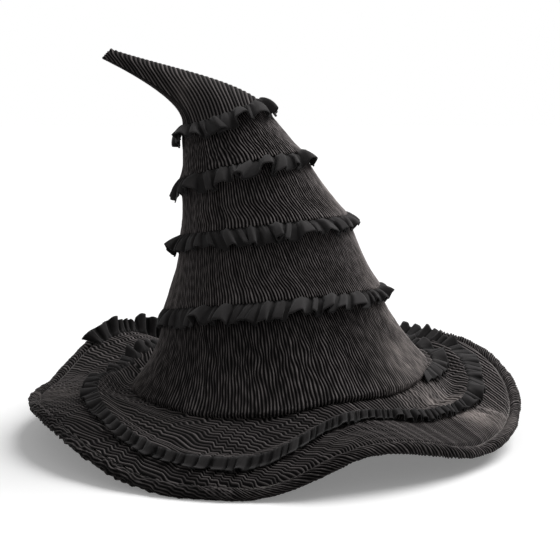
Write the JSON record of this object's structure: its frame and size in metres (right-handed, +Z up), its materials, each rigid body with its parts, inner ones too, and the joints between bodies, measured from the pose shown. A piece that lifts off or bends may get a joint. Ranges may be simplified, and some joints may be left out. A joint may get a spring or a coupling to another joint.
{
  "type": "witch hat",
  "caption": "Black pleated cloth witch hat with a leaning crown, ruffled seams, a bent-over tip and a wide, wired, waved brim that carries a spiral ruffle.",
  "frame": {"origin": "middle of the brim, on the surface the hat stands on", "axes": "+Z up the head opening, +X to the wearer's left as the picture shows it from the front (the picture's right), +Y away from the viewer; the tip bends towards -X"},
  "size_m": [0.4176, 0.4176, 0.3233],
  "materials": {
    "pleated_cloth": "crinkle-pleated black cloth with a dull sheen on the ridges",
    "ruffle_cloth": "matte charcoal cloth",
    "lining_cloth": "plain black lining",
    "under_cloth": "plain black cloth",
    "felt": "stiffened felt",
    "band_tape": "ribbed grosgrain tape",
    "core_sheet": "stiffening sheet",
    "wire": "bright wire"
  },
  "bodies": {
    "crown": {"sweatband": "band_tape", "crown_lining": "lining_cloth", "lining_top": "lining_cloth", "crown_stiffener": "felt", "base_tier": "pleated_cloth", "lower_tier": "pleated_cloth", "middle_tier": "pleated_cloth", "upper_tier": "pleated_cloth", "lower_ruffle": "ruffle_cloth", "middle_ruffle": "ruffle_cloth", "upper_ruffle": "ruffle_cloth", "tip_ruffle": "ruffle_cloth", "brim_cover": "pleated_cloth", "brim_core": "core_sheet", "brim_underside": "under_cloth", "brim_hem": "pleated_cloth", "brim_wire": "wire", "brim_ruffle": "ruffle_cloth"},
    "tip": {"tip_cone": "pleated_cloth", "tip_wire": "wire"}
  },
  "joints": [
    {"name": "tip_bend", "type": "hinge", "parent": "crown", "child": "tip", "pos_m": [-0.045, 0, 0.27], "axis": [0, 1, 0], "range_deg": [-15, 25]}
  ]
}
